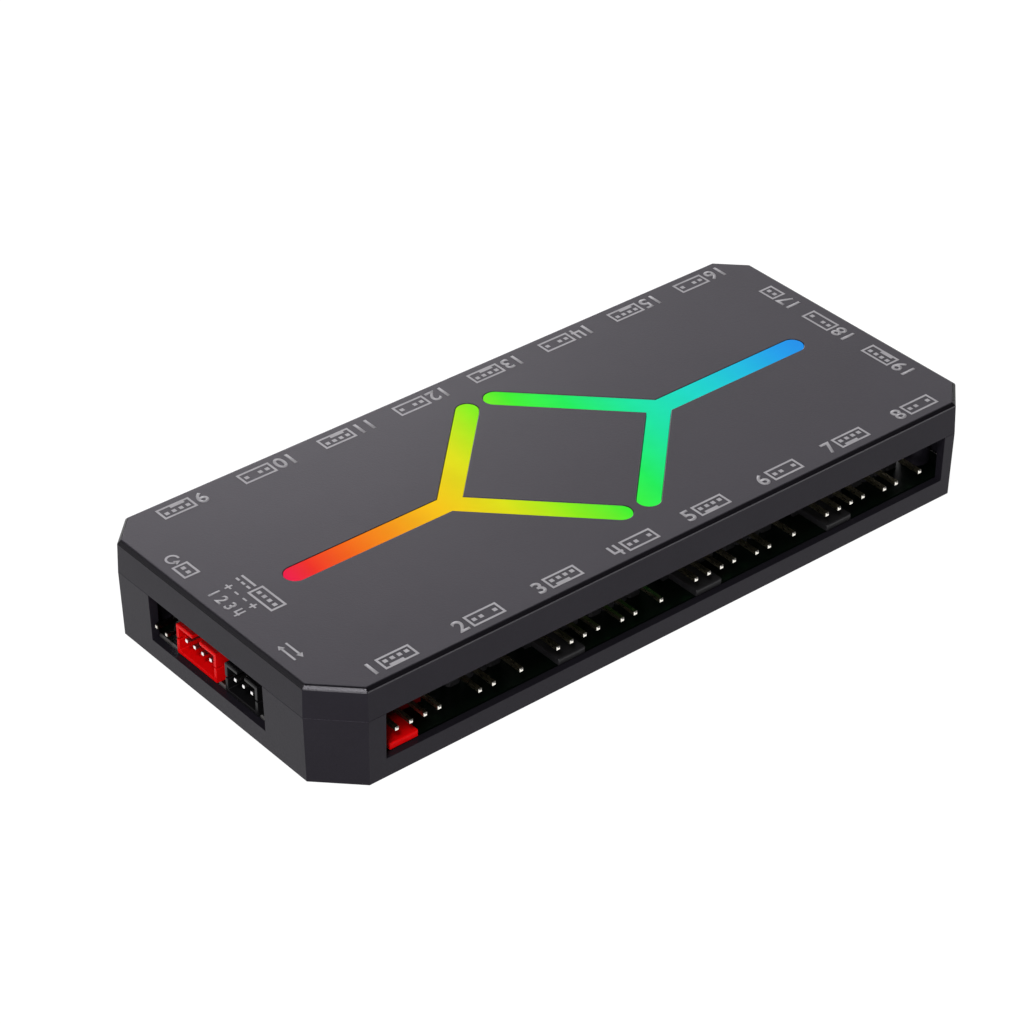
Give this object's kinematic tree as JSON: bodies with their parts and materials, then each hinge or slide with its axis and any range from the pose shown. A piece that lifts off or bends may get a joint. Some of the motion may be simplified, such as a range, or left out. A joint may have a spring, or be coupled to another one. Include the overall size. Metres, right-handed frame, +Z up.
{
  "type": "pc fan controller hub",
  "caption": "Flat black hub box with cut corners: rows of fan and light pin headers in side windows, power sockets at one end, lit Y-shaped strips in the lid.",
  "frame": {"origin": "centre of the underside", "axes": "+X along the length, from the power end to the plain end; +Y from the front row of ports to the back row; +Z up out of the lid"},
  "size_m": [0.126, 0.0566, 0.017],
  "materials": {
    "case_black": "fine matt moulded texture, slightly glossy on the bevels",
    "light_guide_warm": "milky diffuser, lit from red over yellow to green",
    "light_guide_cool": "milky diffuser, lit from green over turquoise to blue",
    "board_green": "solder resist on glass fibre board",
    "header_black": "moulded, satin",
    "header_red": "moulded, satin",
    "pin_gold": "gold flashed",
    "pin_tin": "tin plated",
    "led_white": "moulded package",
    "chip_black": "moulded package",
    "capacitor_can": "bare can",
    "screw_steel": "black zinc"
  },
  "bodies": {
    "root": {"tray": "case_black", "lid": "case_black", "light_guide_left": "light_guide_warm", "light_guide_right": "light_guide_cool", "circuit_board": "board_green", "case_screws": "screw_steel", "leds": "led_white", "controller_chip": "chip_black", "buffer_chips": "chip_black", "capacitors": "capacitor_can", "fan_header_front_1": "header_red", "fan_header_front_1_pins": "pin_gold", "light_header_front_1": "header_black", "light_header_front_1_pins": "pin_gold", "fan_header_back_1": "header_black", "fan_header_back_1_pins": "pin_gold", "light_header_back_1": "header_black", "light_header_back_1_pins": "pin_gold", "fan_header_front_2": "header_black", "fan_header_front_2_pins": "pin_gold", "light_header_front_2": "header_black", "light_header_front_2_pins": "pin_gold", "fan_header_back_2": "header_black", "fan_header_back_2_pins": "pin_gold", "light_header_back_2": "header_black", "light_header_back_2_pins": "pin_gold", "fan_header_front_3": "header_black", "fan_header_front_3_pins": "pin_gold", "light_header_front_3": "header_black", "light_header_front_3_pins": "pin_gold", "fan_header_back_3": "header_black", "fan_header_back_3_pins": "pin_gold", "light_header_back_3": "header_black", "light_header_back_3_pins": "pin_gold", "fan_header_front_4": "header_black", "fan_header_front_4_pins": "pin_gold", "light_header_front_4": "header_black", "light_header_front_4_pins": "pin_gold", "fan_header_back_4": "header_black", "fan_header_back_4_pins": "pin_gold", "light_header_back_4": "header_black", "light_header_back_4_pins": "pin_gold", "reset_header": "header_black", "reset_header_pins": "pin_gold", "power_socket": "header_red", "power_socket_pins": "pin_tin", "link_socket": "header_black", "link_socket_pins": "pin_tin", "panel_header": "header_black", "panel_header_pins": "pin_gold", "light_header_end": "header_black", "light_header_end_pins": "pin_gold", "fan_header_end": "header_black", "fan_header_end_pins": "pin_gold"}
  },
  "joints": []
}
